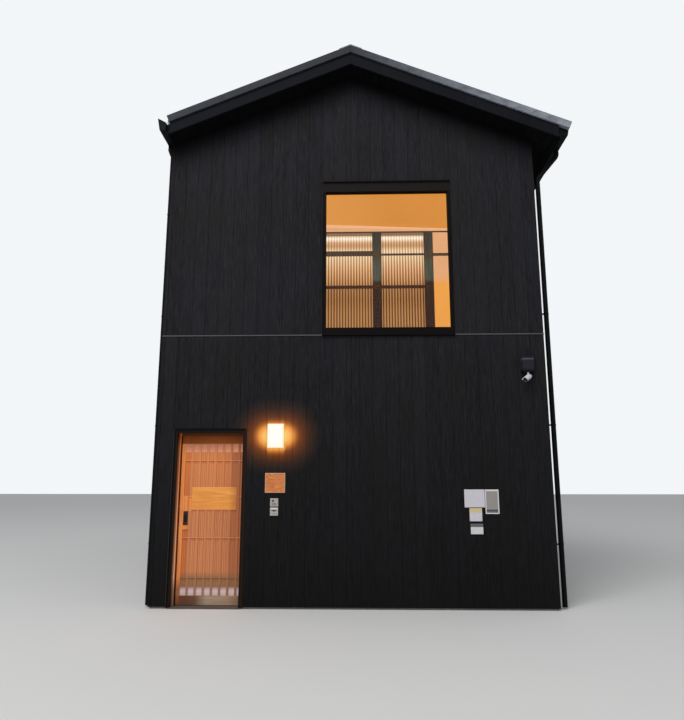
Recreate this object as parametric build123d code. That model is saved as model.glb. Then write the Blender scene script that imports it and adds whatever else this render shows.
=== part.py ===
# Two-storey timber townhouse on a narrow plot: a black board front under a low
# gable, one large upper window and a sliding lattice door. Millimetres, +Z up.
# X runs to the right as seen from the street, the street front faces -Y, and the
# origin is on the ground under the middle of the plan.

import os
from math import cos, radians, sin, tan

from build123d import *

# Plan and storeys
house_width = 4740
house_depth = 9220
wall_thickness = 125
plinth_height = 22
plinth_inset = 15
storey_joint = 3227
flashing_height = 16
flashing_proud = 8
upper_floor_top = 3080
upper_floor_thickness = 260

# Roof, its layers measured square to the slope
roof_pitch = 22.4
verge_top_at_ridge = 7092
gable_overhang = 300
left_eave_overhang = 20
right_eave_overhang = 320
verge_height = 92
verge_width = 60
seam_rise = 25
seam_width = 30
seam_pitch = 455
rafter_depth = 138
barge_depth = 147
barge_thickness = 30
barge_recess = 24
barge_setback = 40
mitre_gap = 2
fascia_thickness = 20
cap_reach = 150
cap_rise = 12

# Gutters and downpipes
gutter_top_width = 110
gutter_bottom_width = 80
gutter_sheet = 4
gutter_rim_rise = 60
gutter_depth = 105
gutter_cover = 15
pipe_diameter = 60
pipe_setback = 120
pipe_gap_left = 2
pipe_gap_right = 49
pipe_foot = 20
hopper_height = 150
hopper_size = 76
neck_drop = 330
neck_radius = 90
bracket_pitch = 1400
bracket_size = 18
bracket_ring = 3

# Upper window, one fixed pane
window_left = 2003
window_width = 1650
window_height = 2071
window_side = 38
window_head = 143
window_foot = 102
window_proud = 12
window_frame_depth = 87
glass_thickness = 20
glass_setback = 45
glass_bite = 9
sill_height = 22
sill_proud = 34
drip_height = 14
drip_proud = 34

# Doorway and its lining
door_left = 250
door_clear_width = 800
door_head_height = 2028
lining_thickness = 24
casing_width = 23
casing_proud = 8
stop_width = 25
stop_depth = 25
stop_drop = 33
sill_thickness = 12
sill_front = 10

# Sliding leaf, which runs behind the front wall
leaf_clearance = 6
leaf_wall_gap = 7
leaf_width = 831
leaf_thickness = 36
leaf_lap = 20
leaf_travel = 740
stile_width = 42
top_rail_height = 115
bottom_rail_height = 104
lattice_bars = 7
bar_width = 25
bar_depth = 12
bar_setback = 4
lattice_rails_above_foot = (198, 655)
lattice_rails_below_head = (645, 210)
lattice_rail_height = 12
blind_foot_gap = 98
blind_head_gap = 102
blind_thickness = 4
pane_thickness = 4
board_width = 548
board_height = 268
board_centre_height = 1245
board_thickness = 4
lock_block_bottom = 880
lock_block_top = 1275
lock_width = 58
lock_height = 165
lock_centre_height = 1010
lock_proud = 1.5
lock_depth = 12
pull_width = 24
pull_length = 92
pull_floor = 2
lock_case_margin = 4
header_height = 70
header_lip = 12
header_lip_drop = 28

# Slatted screen and ceiling of the upper room
screen_setback = 1820
screen_post_width = 145
screen_post_centres = (935, 1845, 2755, 3571)
screen_depth = 45
lintel_bottom = 5342
lintel_height = 22
screen_foot_height = 120
# rail of each bay from the left wall on: drop of its top under the lintel, height
screen_top_rails = ((305, 85), (305, 85), (305, 85), (351, 32), (350, 45))
screen_low_rail = (876, 52)
slat_pitch = 44.5
slat_width = 21
slat_depth = 14
slat_setback = 8
slat_head_height = 44
backing_thickness = 8
plaster_thickness = 60
ceiling_thickness = 30
ceiling_rise = 5
ceiling_fall = 195
cornice_height = 70
cornice_depth = 14

# Beside the door, from the left wall face: left edge, width, bottom, height
lamp_place = (1360, 186, 1844, 282)
lamp_depth = 92
lamp_plate_depth = 14
lamp_plate_margin = 14
lamp_corner = 8
plaque_place = (1332, 241, 1312, 232)
plaque_thickness = 14
plaque_chamfer = 3
call_place = (1400, 96, 1048, 200)
call_depth = 24
call_split = 10
call_corner = 4
# At the right, from the right wall face: right edge, width, bottom, height
camera_box_place = (162, 138, 2742, 190)
camera_box_depth = 95
camera_box_corner = 9
camera_body_diameter = 60
camera_body_length = 132
camera_body_forward = 26
camera_shade_length = 26
camera_shade_gap = 4
camera_arm_diameter = 26
camera_drop = 58
camera_reach = 62
camera_turn = 38
camera_tilt = 24
notice_places = (
    (808, 238, 1146, 206),
    (643, 160, 1072, 280),
    (846, 146, 988, 150),
    (840, 144, 842, 118),
)
notice_thickness = 5

# Planes and lines that the pieces share
pitch = radians(roof_pitch)
left_face = -house_width / 2
right_face = house_width / 2
front_face = -house_depth / 2
rear_face = house_depth / 2
inner_left = left_face + wall_thickness
inner_right = right_face - wall_thickness
inner_front = front_face + wall_thickness
inner_rear = rear_face - wall_thickness
verge_front = front_face - gable_overhang
barge_back = verge_front + barge_recess + barge_thickness
roof_underside = verge_height + rafter_depth
run_left = house_width / 2 + left_eave_overhang
run_right = house_width / 2 + right_eave_overhang
opening_left = left_face + door_left - lining_thickness
opening_right = left_face + door_left + door_clear_width + lining_thickness
opening_top = door_head_height + lining_thickness
window_x0 = left_face + window_left
window_x1 = window_x0 + window_width
window_z0 = storey_joint
window_z1 = window_z0 + window_height
sill_top = sill_thickness
stop_face = front_face + wall_thickness - stop_depth
leaf_x0 = left_face + door_left + stop_width + leaf_clearance
leaf_x1 = leaf_x0 + leaf_width
leaf_front = inner_front + leaf_wall_gap
leaf_back = leaf_front + leaf_thickness
leaf_bottom = sill_top + leaf_clearance
leaf_top = door_head_height - stop_drop + leaf_lap
light_foot = leaf_bottom + bottom_rail_height
light_head = leaf_top - top_rail_height
track_end = leaf_x1 + leaf_travel + leaf_clearance
screen_front = front_face + screen_setback
screen_back = screen_front + screen_depth
lintel_top = lintel_bottom + lintel_height


def block(x0, x1, y0, y1, z0, z1):
    centre = Pos((x0 + x1) / 2, (y0 + y1) / 2, (z0 + z1) / 2)
    return centre * Box(x1 - x0, y1 - y0, z1 - z0)


def plate(place, y0, y1):
    """A block given by left edge from the left wall face, width, bottom and height."""
    left, width, bottom, height = place
    x0 = left_face + left
    return block(x0, x0 + width, y0, y1, bottom, bottom + height)


def plate_from_right(place, y0, y1):
    """The same, but with the right edge given from the right wall face."""
    right, width, bottom, height = place
    return plate((house_width - right - width, width, bottom, height), y0, y1)


def section_prism(points, y0, y1):
    """An outline of (x, z) points, carried from y0 back to y1."""
    face = make_face(Polyline(*points, close=True))
    return extrude(Plane.XZ.offset(-y1) * face, y1 - y0)


def plan_prism(points, z0, z1):
    """An outline of (x, y) points, carried up from z0 to z1."""
    face = make_face(Polyline(*points, close=True))
    return extrude(Pos(0, 0, z0) * face, z1 - z0)


def turned(solid):
    """The same piece on the opposite front: half a turn about the plan's middle."""
    return Rot(0, 0, 180) * solid


# Roof section: run is measured across from the ridge, drop square below the verge top

def roof_z(run, drop):
    return verge_top_at_ridge - run * tan(pitch) - drop / cos(pitch)


def plumb_point(side, run, drop):
    return (side * run, roof_z(run, drop))


def square_point(side, run, drop):
    return (side * (run - drop * sin(pitch)), roof_z(run, 0) - drop * cos(pitch))


def slope_layer(side, start, end, top, bottom, y0, y1, cut=plumb_point):
    """One layer of a roof slope, plumb at the ridge side and cut as asked at the eave."""
    points = [
        plumb_point(side, start, top),
        cut(side, end, top),
        cut(side, end, bottom),
        plumb_point(side, start, bottom),
    ]
    return section_prism(points, y0, y1)


def under_roof(x0, x1, z0, y0, y1):
    """A wall piece between x0 and x1 whose top follows the roof's underside."""
    corners = [(x0, z0), (x1, z0), (x1, roof_z(abs(x1), roof_underside))]
    if x0 < 0 < x1:
        corners.append((0, roof_z(0, roof_underside)))
    corners.append((x0, roof_z(abs(x0), roof_underside)))
    return section_prism(corners, y0, y1)


def lower_wall():
    """Ground-floor end wall without an opening."""
    return block(left_face, right_face, front_face, inner_front, plinth_height, storey_joint)


def front_wall_lower():
    return lower_wall() - block(opening_left, opening_right, front_face, inner_front,
                                plinth_height, opening_top)


def upper_wall():
    """Gable wall of the upper storey with its window opening."""
    window = block(window_x0, window_x1, front_face, inner_front, window_z0, window_z1)
    return under_roof(left_face, right_face, storey_joint, front_face, inner_front) - window


def side_wall(x0, x1):
    return under_roof(x0, x1, plinth_height, inner_front, inner_rear)


def foundation():
    """Floor slab set back under the boards, notched for the flush threshold."""
    slab = block(left_face + plinth_inset, right_face - plinth_inset,
                 front_face + plinth_inset, rear_face - plinth_inset, 0, plinth_height)
    return slab - plan_prism(sill_outline(), 0, plinth_height)


def upper_floor():
    return block(inner_left, inner_right, inner_front, inner_rear,
                 upper_floor_top - upper_floor_thickness, upper_floor_top)


def ceiling_z(x):
    """The ceiling falls evenly from the left wall and ends just over the lintel."""
    return lintel_top + ceiling_rise + ceiling_fall * (inner_right - x) / (inner_right - inner_left)


def upper_ceiling():
    points = [(inner_left, ceiling_z(inner_left)), (inner_right, ceiling_z(inner_right)),
              (inner_right, ceiling_z(inner_right) + ceiling_thickness),
              (inner_left, ceiling_z(inner_left) + ceiling_thickness)]
    return section_prism(points, inner_front, inner_rear)


def storey_flashing():
    """A thin metal strip over the boards' joint, stopped against the two windows."""
    z1 = storey_joint + flashing_height
    outer = block(left_face - flashing_proud, right_face + flashing_proud,
                  front_face - flashing_proud, rear_face + flashing_proud, storey_joint, z1)
    house = block(left_face, right_face, front_face, rear_face, storey_joint, z1)
    gap = block(window_x0, window_x1, front_face - flashing_proud, front_face, storey_joint, z1)
    return outer - house - gap - turned(gap)


def roof_covering(side, run):
    """Sheet metal on boards, with standing seams from the ridge cap to the eave."""
    y0 = verge_front + verge_width
    sheet = slope_layer(side, 0, run, seam_rise, verge_height, y0, -y0)
    bays = int(-2 * y0 // seam_pitch)
    for index in range(bays + 1):
        y = (index - bays / 2) * seam_pitch
        sheet += slope_layer(side, cap_reach, run, 0, seam_rise, y - seam_width / 2, y + seam_width / 2)
    return sheet


def roof_deck(side, run):
    """Rafters and soffit boards as one layer between the bargeboards."""
    return slope_layer(side, 0, run - fascia_thickness, verge_height, roof_underside,
                       barge_back, -barge_back)


def both_gables(side, run, top, bottom, y0, y1, cut):
    """The same edge board at the street end and the rear end of one slope."""
    return [slope_layer(side, mitre_gap / 2, run, top, bottom, start, end, cut)
            for start, end in ((y0, y1), (-y1, -y0))]


def verge_trims():
    """Cut square at the eave; the right ones run on past it and cover the gutter's ends."""
    pieces = []
    for side, run in ((-1, run_left), (1, run_right + gutter_top_width + gutter_cover)):
        pieces += both_gables(side, run, 0, verge_height, verge_front, verge_front + verge_width,
                              square_point)
    return Compound(children=pieces)


def bargeboards():
    """Set back under the verge trims, with plumb ends."""
    pieces = []
    for side, run in ((-1, run_left), (1, run_right)):
        pieces += both_gables(side, run - barge_setback, verge_height, verge_height + barge_depth,
                              verge_front + barge_recess, barge_back, plumb_point)
    return Compound(children=pieces)


def ridge_cap():
    """A folded cap over both slopes, resting on the verge trims at its two ends."""
    def fold(top, bottom, y0, y1):
        sides = [slope_layer(side, 0, cap_reach, top, bottom, y0, y1) for side in (-1, 1)]
        return sides[0] + sides[1]
    inner = verge_front + verge_width
    return fold(-cap_rise, 0, verge_front, -verge_front) + fold(0, seam_rise, inner, -inner)


def eave_fascias():
    """Upright boards over the rafter ends, which the gutters hang on."""
    boards = []
    for side, run in ((-1, run_left), (1, run_right)):
        top = roof_z(run, verge_height)
        bottom = roof_z(run, roof_underside)
        x0, x1 = sorted((side * run, side * (run - fascia_thickness)))
        boards.append(block(x0, x1, barge_back, -barge_back, bottom, top))
    return Compound(children=boards)


def gutter_foot(run):
    return roof_z(run, verge_height) - gutter_depth


def gutter_section(side, run, inset):
    """Trough outline off the fascia: a low inner wall and an outer wall that hides the roof edge."""
    foot = gutter_foot(run)
    inner_top = foot + gutter_depth + inset
    return [(side * (run + inset), inner_top), (side * (run + inset), foot + inset),
            (side * (run + gutter_bottom_width - inset), foot + inset),
            (side * (run + gutter_top_width - inset), inner_top + gutter_rim_rise)]


def gutter_front(side):
    """The left gutter starts flush with the verge, the right one behind it."""
    return verge_front + (verge_width if side > 0 else 0)


def gutter(side, run):
    y0 = gutter_front(side)
    trough = section_prism(gutter_section(side, run, 0), y0, -y0)
    y0 += gutter_sheet
    return trough - section_prism(gutter_section(side, run, gutter_sheet), y0, -y0)


def pipe_brackets(side, pipe_x, top):
    """Arms from the wall into the pipe, evenly spaced down its length."""
    wall = side * house_width / 2
    x0, x1 = sorted((wall, pipe_x))
    y = front_face + pipe_setback
    count = int((top - pipe_foot) // bracket_pitch)
    arms = []
    for index in range(count):
        z = pipe_foot + (index + 0.5) * bracket_pitch
        arms.append(block(x0, x1, y - bracket_size / 2, y + bracket_size / 2,
                          z - bracket_size / 2, z + bracket_size / 2))
        ring = Cylinder(pipe_diameter / 2 + bracket_ring, bracket_size)
        arms.append(Pos(pipe_x, y, z) * ring)
    return arms


def hopper(gutter_x, pipe_x, top):
    """Tapered box under the gutter's outlet, from a square mouth to the round pipe."""
    y = front_face + pipe_setback
    mouth = Plane((gutter_x, y, top)) * Rectangle(hopper_size, hopper_size)
    waist = Plane((gutter_x, y, top - hopper_height / 2)) * Rectangle(hopper_size, hopper_size)
    throat = Plane((pipe_x, y, top - hopper_height)) * Rectangle(pipe_diameter, pipe_diameter)
    return loft([mouth, waist]) + loft([waist, throat])


def downpipe_left():
    """A straight pipe close to the wall, fed by a hopper under the gutter."""
    pipe_x = left_face - flashing_proud - pipe_gap_left - pipe_diameter / 2
    gutter_x = -run_left - gutter_bottom_width / 2
    top = gutter_foot(run_left)
    pipe_top = top - hopper_height
    y = front_face + pipe_setback
    pipe = Pos(pipe_x, y, (pipe_foot + pipe_top) / 2) * Cylinder(pipe_diameter / 2, pipe_top - pipe_foot)
    pipe += hopper(gutter_x, pipe_x, top)
    for arm in pipe_brackets(-1, pipe_x, pipe_top):
        pipe += arm
    return pipe


def downpipe_right():
    """A swan neck from the gutter's outlet back to the wall, then straight down."""
    pipe_x = right_face + flashing_proud + pipe_gap_right + pipe_diameter / 2
    gutter_x = run_right + gutter_bottom_width / 2
    top = gutter_foot(run_right)
    y = front_face + pipe_setback
    straight = neck_radius
    path = FilletPolyline((gutter_x, y, top), (gutter_x, y, top - straight),
                          (pipe_x, y, top - straight - neck_drop), (pipe_x, y, pipe_foot),
                          radius=neck_radius)
    pipe = sweep(Plane((gutter_x, y, top), z_dir=(0, 0, -1)) * Circle(pipe_diameter / 2), path)
    pipe_top = top - straight - neck_drop
    for arm in pipe_brackets(1, pipe_x, pipe_top):
        pipe += arm
    return pipe


def window_light(y0, y1, bite):
    """The space inside the frame's members, or a pane that reaches into them."""
    return block(window_x0 + window_side - bite, window_x1 - window_side + bite, y0, y1,
                 window_z0 + window_foot - bite, window_z1 - window_head + bite)


def window_frame():
    """Fixed frame, set in the wall and a little proud, with a drip over it and a sill under it."""
    y0 = front_face - window_proud
    y1 = front_face + window_frame_depth
    frame = block(window_x0, window_x1, y0, y1, window_z0, window_z1)
    light = window_light(y0, y1, 0)
    drip = block(window_x0, window_x1, front_face - drip_proud, y0, window_z1 - drip_height, window_z1)
    sill = block(window_x0, window_x1, front_face - sill_proud, y0, window_z0, window_z0 + sill_height)
    return frame - light - window_glass() + drip + sill


def window_glass():
    """The pane, held in a groove all round the frame."""
    y0 = front_face + glass_setback
    return window_light(y0, y0 + glass_thickness, glass_bite)


def door_casing():
    """Narrow trim round the doorway, on the face of the boards."""
    y0 = front_face - casing_proud
    outer = block(opening_left - casing_width, opening_right + casing_width, y0, front_face,
                  sill_top, opening_top + casing_width)
    return outer - block(opening_left, opening_right, y0, front_face, sill_top, opening_top)


def door_jambs():
    """Linings of both sides; the left one carries the stop that the leaf shuts against."""
    clear = opening_left + lining_thickness
    stop = clear + stop_width
    left = plan_prism([(opening_left, front_face), (clear, front_face), (clear, stop_face),
                       (stop, stop_face), (stop, leaf_back), (opening_left, leaf_back)],
                      sill_top, door_head_height - stop_drop)
    right = block(opening_right - lining_thickness, opening_right, front_face, inner_front,
                  sill_top, door_head_height - stop_drop)
    return Compound(children=[left, right])


def door_head():
    """Lining over the doorway with its stop, and the header that the leaf runs in."""
    lining = block(opening_left, opening_right, front_face, inner_front, door_head_height, opening_top)
    stop = block(opening_left, opening_right, stop_face, inner_front,
                 door_head_height - stop_drop, door_head_height)
    cheeks = block(opening_left, opening_left + lining_thickness, front_face, stop_face,
                   door_head_height - stop_drop, door_head_height)
    cheeks += block(opening_right - lining_thickness, opening_right, front_face, stop_face,
                    door_head_height - stop_drop, door_head_height)
    header_z = leaf_top + leaf_clearance
    lip_y = leaf_back + leaf_clearance
    header = block(opening_left, track_end, inner_front, lip_y + header_lip, header_z,
                   header_z + header_height)
    lip = block(opening_left, track_end, lip_y, lip_y + header_lip, header_z - header_lip_drop, header_z)
    return lining + stop + cheeks + header + lip


def sill_outline():
    """Plan of the threshold, with the strip behind the wall that the open leaf stands over."""
    y1 = leaf_back + leaf_clearance + header_lip
    return [(opening_left, front_face - sill_front), (opening_right, front_face - sill_front),
            (opening_right, inner_front), (track_end, inner_front), (track_end, y1), (opening_left, y1)]


def door_sill():
    return plan_prism(sill_outline(), 0, sill_top)


# Sliding leaf, drawn shut

def bar_gap():
    inner = leaf_width - 2 * stile_width
    return (inner - lattice_bars * bar_width) / (lattice_bars + 1)


def leaf_light(y0, y1, foot_gap=0, head_gap=0):
    """The space inside the leaf's stiles and rails."""
    return block(leaf_x0 + stile_width, leaf_x1 - stile_width, y0, y1,
                 light_foot + foot_gap, light_head - head_gap)


def lock_centre_x():
    return leaf_x0 + stile_width + bar_gap() / 2


def lock_pocket():
    """Recess in the lock block for the case behind the lock plate."""
    x = lock_centre_x()
    half_width = pull_width / 2 + lock_case_margin
    half_length = pull_length / 2 + lock_case_margin
    return block(x - half_width, x + half_width, leaf_front, leaf_front + lock_depth,
                 lock_centre_height - half_length, lock_centre_height + half_length)


def door_leaf_frame():
    """Stiles, rails and the solid block between stile and first bar that holds the lock."""
    frame = block(leaf_x0, leaf_x1, leaf_front, leaf_back, leaf_bottom, leaf_top)
    frame -= leaf_light(leaf_front, leaf_back)
    frame += block(leaf_x0 + stile_width, leaf_x0 + stile_width + bar_gap(), leaf_front,
                   lattice_back(), lock_block_bottom, lock_block_top)
    return frame - lock_pocket()


def lattice_front():
    return leaf_front + bar_setback


def lattice_back():
    return lattice_front() + bar_depth


def door_lattice():
    """Upright bars and slim rails halved into each other, stopped against the lock block."""
    x0 = leaf_x0 + stile_width
    x1 = leaf_x1 - stile_width
    heights = [light_foot + rise for rise in lattice_rails_above_foot]
    heights += [light_head - drop for drop in lattice_rails_below_head]
    lattice = None
    for height in heights:
        z0, z1 = height - lattice_rail_height / 2, height + lattice_rail_height / 2
        beside_lock = lock_block_bottom < z1 and z0 < lock_block_top
        rail = block(x0 + bar_gap() if beside_lock else x0, x1, lattice_front(), lattice_back(), z0, z1)
        lattice = rail if lattice is None else lattice + rail
    for index in range(lattice_bars):
        x = x0 + bar_gap() + index * (bar_gap() + bar_width)
        lattice += block(x, x + bar_width, lattice_front(), lattice_back(), light_foot, light_head)
    return lattice


def door_blind():
    y0 = lattice_back()
    return leaf_light(y0, y0 + blind_thickness, blind_foot_gap, blind_head_gap)


def door_glass():
    y0 = lattice_back() + blind_thickness
    return leaf_light(y0, y0 + pane_thickness)


def door_name_board():
    """A bare board laid over the lattice, stopped against the lock block."""
    x = (leaf_x0 + leaf_x1) / 2
    y1 = lattice_front()
    return block(x - board_width / 2, x + board_width / 2, y1 - board_thickness, y1,
                 board_centre_height - board_height / 2, board_centre_height + board_height / 2)


def door_lock():
    """Lock plate with its case let into the block, and an oval pull sunk in the case."""
    x = lock_centre_x()
    z = lock_centre_height
    plate_block = block(x - lock_width / 2, x + lock_width / 2, leaf_front - lock_proud, leaf_front,
                        z - lock_height / 2, z + lock_height / 2)
    pull_face = Plane((x, leaf_front - lock_proud, z), x_dir=(0, 0, 1), z_dir=(0, 1, 0))
    pull = extrude(pull_face * SlotOverall(pull_length, pull_width),
                   lock_proud + lock_depth - pull_floor)
    return plate_block + lock_pocket() - pull


# Slatted screen of the upper room

def screen_bays():
    """Left and right edges of the slatted bays, from the left wall to the last post."""
    bays = []
    start = inner_left
    for centre in screen_post_centres:
        x = left_face + centre
        bays.append((start, x - screen_post_width / 2))
        start = x + screen_post_width / 2
    return bays


def screen_frame():
    """Posts from floor to lintel, the lintel, and the rails let in between them."""
    frame = block(inner_left, inner_right, screen_front, screen_back, lintel_bottom,
                  lintel_bottom + lintel_height)
    for centre in screen_post_centres:
        x = left_face + centre
        frame += block(x - screen_post_width / 2, x + screen_post_width / 2, screen_front, screen_back,
                       upper_floor_top, lintel_bottom)
    rail_back = screen_front + slat_setback
    last = left_face + screen_post_centres[-1] + screen_post_width / 2
    rails = list(zip(screen_bays() + [(last, inner_right)], screen_top_rails))
    rails += [(bay, screen_low_rail) for bay in screen_bays()]
    for (x0, x1), (drop, height) in rails:
        frame += block(x0, x1, screen_front, rail_back, lintel_bottom - drop - height,
                       lintel_bottom - drop)
    frame += block(inner_left, inner_right, screen_front, rail_back, upper_floor_top,
                   upper_floor_top + screen_foot_height)
    return frame


def screen_slats():
    """Evenly spaced slats of each bay, held by a thin rail along their feet and heads."""
    y0 = screen_front + slat_setback
    y1 = y0 + slat_depth
    panels = []
    for x0, x1 in screen_bays():
        count = int((x1 - x0 - slat_width) // slat_pitch)
        first = (x0 + x1) / 2 - count * slat_pitch / 2
        panel = block(x0, x1, y0, y1, upper_floor_top, upper_floor_top + slat_width)
        panel += block(x0, x1, y0, y1, lintel_bottom - slat_head_height, lintel_bottom)
        for index in range(count + 1):
            x = first + index * slat_pitch
            panel += block(x - slat_width / 2, x + slat_width / 2, y0, y1,
                           upper_floor_top + slat_width, lintel_bottom - slat_head_height)
        panels.append(panel)
    return Compound(children=panels)


def screen_backing():
    """Pale lit sheet behind the slats, one to each bay."""
    y0 = screen_back - backing_thickness
    return Compound(children=[block(x0, x1, y0, screen_back, upper_floor_top, lintel_bottom)
                              for x0, x1 in screen_bays()])


def plaster_panel():
    """Plaster right of the last post, and the wedge between the lintel and the ceiling."""
    y0 = screen_front + slat_setback
    y1 = y0 + plaster_thickness
    last = left_face + screen_post_centres[-1] + screen_post_width / 2
    side = block(last, inner_right, y0, screen_back, upper_floor_top, lintel_bottom)
    wedge = section_prism([(inner_left, lintel_top), (inner_right, lintel_top),
                           (inner_right, ceiling_z(inner_right)),
                           (inner_left, ceiling_z(inner_left))], y0, y1)
    return Compound(children=[side, wedge])


def ceiling_cornice():
    """Pale strip along the foot of the ceiling, running out on the lintel's right end."""
    y1 = screen_front + slat_setback
    points = [(inner_left, ceiling_z(inner_left)), (inner_right, ceiling_z(inner_right)),
              (inner_right, lintel_top),
              (inner_left, ceiling_z(inner_left) - cornice_height)]
    return section_prism(points, y1 - cornice_depth, y1)


# Fittings on the street front

def lamp_base():
    left, width, bottom, height = lamp_place
    return plate((left + lamp_plate_margin, width - 2 * lamp_plate_margin,
                  bottom + lamp_plate_margin, height - 2 * lamp_plate_margin),
                 front_face - lamp_plate_depth, front_face)


def lamp_shade():
    shade = plate(lamp_place, front_face - lamp_depth, front_face - lamp_plate_depth)
    return fillet(shade.edges().group_by(Axis.Y)[0], lamp_corner)


def sign_plaque():
    board = plate(plaque_place, front_face - plaque_thickness, front_face)
    return chamfer(board.edges().group_by(Axis.Y)[0], plaque_chamfer)


def intercom():
    """Two stacked call units with softened fronts."""
    left, width, bottom, height = call_place
    unit_height = (height - call_split) / 2
    units = []
    for index in range(2):
        place = (left, width, bottom + index * (unit_height + call_split), unit_height)
        unit = plate(place, front_face - call_depth, front_face)
        units.append(fillet(unit.edges().group_by(Axis.Y)[0], call_corner))
    return Compound(children=units)


def camera_box():
    box = plate_from_right(camera_box_place, front_face - camera_box_depth, front_face)
    return fillet(box.edges().group_by(Axis.Y)[0], camera_box_corner)


def camera_head():
    """Arm below the box, a round body turned down and to the left, and its sun shade."""
    right, width, bottom, height = camera_box_place
    x = right_face - right - width / 2
    y = front_face - camera_reach
    arm = Pos(x, y, bottom - camera_drop / 2) * Cylinder(camera_arm_diameter / 2, camera_drop)
    radius = camera_body_diameter / 2
    outer = radius + camera_shade_gap
    lens_way = Rot(90, 0, 0) * Pos(0, 0, camera_body_forward)
    body = lens_way * Cylinder(radius, camera_body_length)
    shade = Cylinder(outer, camera_body_length) - Cylinder(radius, camera_body_length)
    shade -= Pos(0, -outer, 0) * Box(2 * outer, 2 * outer, camera_body_length)
    body += lens_way * Pos(0, 0, camera_shade_length) * shade
    aim = Pos(x, y, bottom - camera_drop) * Rot(0, 0, -camera_turn) * Rot(camera_tilt, 0, 0)
    return arm + aim * body


def notice_plates():
    return Compound(children=[plate_from_right(place, front_face - notice_thickness, front_face)
                              for place in notice_places])


nodes = {
    "foundation": foundation(),
    "upper_floor": upper_floor(),
    "upper_ceiling": upper_ceiling(),
    "front_wall_lower": front_wall_lower(),
    "front_wall_upper": upper_wall(),
    "rear_wall_lower": turned(lower_wall()),
    "rear_wall_upper": turned(upper_wall()),
    "left_wall": side_wall(left_face, inner_left),
    "right_wall": side_wall(inner_right, right_face),
    "storey_flashing": storey_flashing(),
    "roof_deck_left": roof_deck(-1, run_left),
    "roof_deck_right": roof_deck(1, run_right),
    "roof_covering_left": roof_covering(-1, run_left),
    "roof_covering_right": roof_covering(1, run_right),
    "verge_trims": verge_trims(),
    "bargeboards": bargeboards(),
    "ridge_cap": ridge_cap(),
    "eave_fascias": eave_fascias(),
    "gutter_left": gutter(-1, run_left),
    "gutter_right": gutter(1, run_right),
    "downpipe_left": downpipe_left(),
    "downpipe_right": downpipe_right(),
    "window_frame": window_frame(),
    "window_glass": window_glass(),
    "rear_window_frame": turned(window_frame()),
    "rear_window_glass": turned(window_glass()),
    "screen_frame": screen_frame(),
    "screen_slats": screen_slats(),
    "screen_backing": screen_backing(),
    "plaster_panel": plaster_panel(),
    "ceiling_cornice": ceiling_cornice(),
    "door_casing": door_casing(),
    "door_jambs": door_jambs(),
    "door_head": door_head(),
    "door_sill": door_sill(),
    "door_leaf_frame": door_leaf_frame(),
    "door_lattice": door_lattice(),
    "door_blind": door_blind(),
    "door_glass": door_glass(),
    "door_name_board": door_name_board(),
    "door_lock": door_lock(),
    "lamp_base": lamp_base(),
    "lamp_shade": lamp_shade(),
    "sign_plaque": sign_plaque(),
    "intercom": intercom(),
    "camera_box": camera_box(),
    "camera_head": camera_head(),
    "notice_plates": notice_plates(),
}

os.makedirs("parts", exist_ok=True)
for name, solid in nodes.items():
    export_step(solid, f"parts/{name}.step")
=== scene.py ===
import math

import bpy
import numpy as np
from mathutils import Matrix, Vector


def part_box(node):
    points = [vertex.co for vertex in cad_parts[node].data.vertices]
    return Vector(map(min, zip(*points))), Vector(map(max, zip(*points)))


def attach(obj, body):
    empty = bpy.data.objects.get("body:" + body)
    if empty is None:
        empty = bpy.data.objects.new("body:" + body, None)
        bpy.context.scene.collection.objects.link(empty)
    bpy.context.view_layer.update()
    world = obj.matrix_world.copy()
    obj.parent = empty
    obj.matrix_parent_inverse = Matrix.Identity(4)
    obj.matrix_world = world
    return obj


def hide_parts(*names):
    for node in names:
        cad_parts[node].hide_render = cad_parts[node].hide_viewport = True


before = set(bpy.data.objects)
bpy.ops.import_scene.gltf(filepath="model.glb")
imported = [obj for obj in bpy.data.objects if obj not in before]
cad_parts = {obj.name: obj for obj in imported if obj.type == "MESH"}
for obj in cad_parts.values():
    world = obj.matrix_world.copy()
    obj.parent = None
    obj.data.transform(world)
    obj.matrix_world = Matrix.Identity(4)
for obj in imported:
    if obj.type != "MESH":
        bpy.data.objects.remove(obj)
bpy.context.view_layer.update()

house, entryDoor = "house", "entry_door"


# Materials: sockets that can be summed, and one method that makes any other node

def linear(red, green, blue):
    # a colour given from 0 to 255, turned into the renderer's linear light
    parts = [value / 255 for value in (red, green, blue)]
    return tuple(v / 12.92 if v <= 0.04045 else ((v + 0.055) / 1.055) ** 2.4 for v in parts) + (1.0,)


class Socket:
    # a node's output; a sum, difference or product with another or with a number adds a Math node
    def __init__(self, finish, socket):
        self.finish, self.socket = finish, socket

    def calc(self, operation, *values, clamp=False):
        # one Math node on these values
        return self.finish.node("ShaderNodeMath", {"operation": operation, "use_clamp": clamp},
                                dict(enumerate(values)))

    def __add__(self, other):
        return self.calc("ADD", self, other)

    def __sub__(self, other):
        return self.calc("SUBTRACT", self, other)

    def __rsub__(self, other):
        return self.calc("SUBTRACT", other, self)

    def __mul__(self, other):
        return self.calc("MULTIPLY", self, other)

    __radd__, __rmul__ = __add__, __mul__

    def size(self):
        return self.calc("ABSOLUTE", self)

    def above(self, other):
        return self.calc("MAXIMUM", self, other)

    def below(self, other):
        return self.calc("MINIMUM", self, other)

    def ramp(self, low, high):
        # 0 at or under low, 1 at or over high, straight between; low may be the larger
        return self.calc("DIVIDE", self - low, high - low, clamp=True)

    def band(self, low, high, soft=0.0006):
        # 1 between low and high, 0 outside
        return self.ramp(low - soft, low + soft) * self.ramp(high + soft, high - soft)


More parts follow.
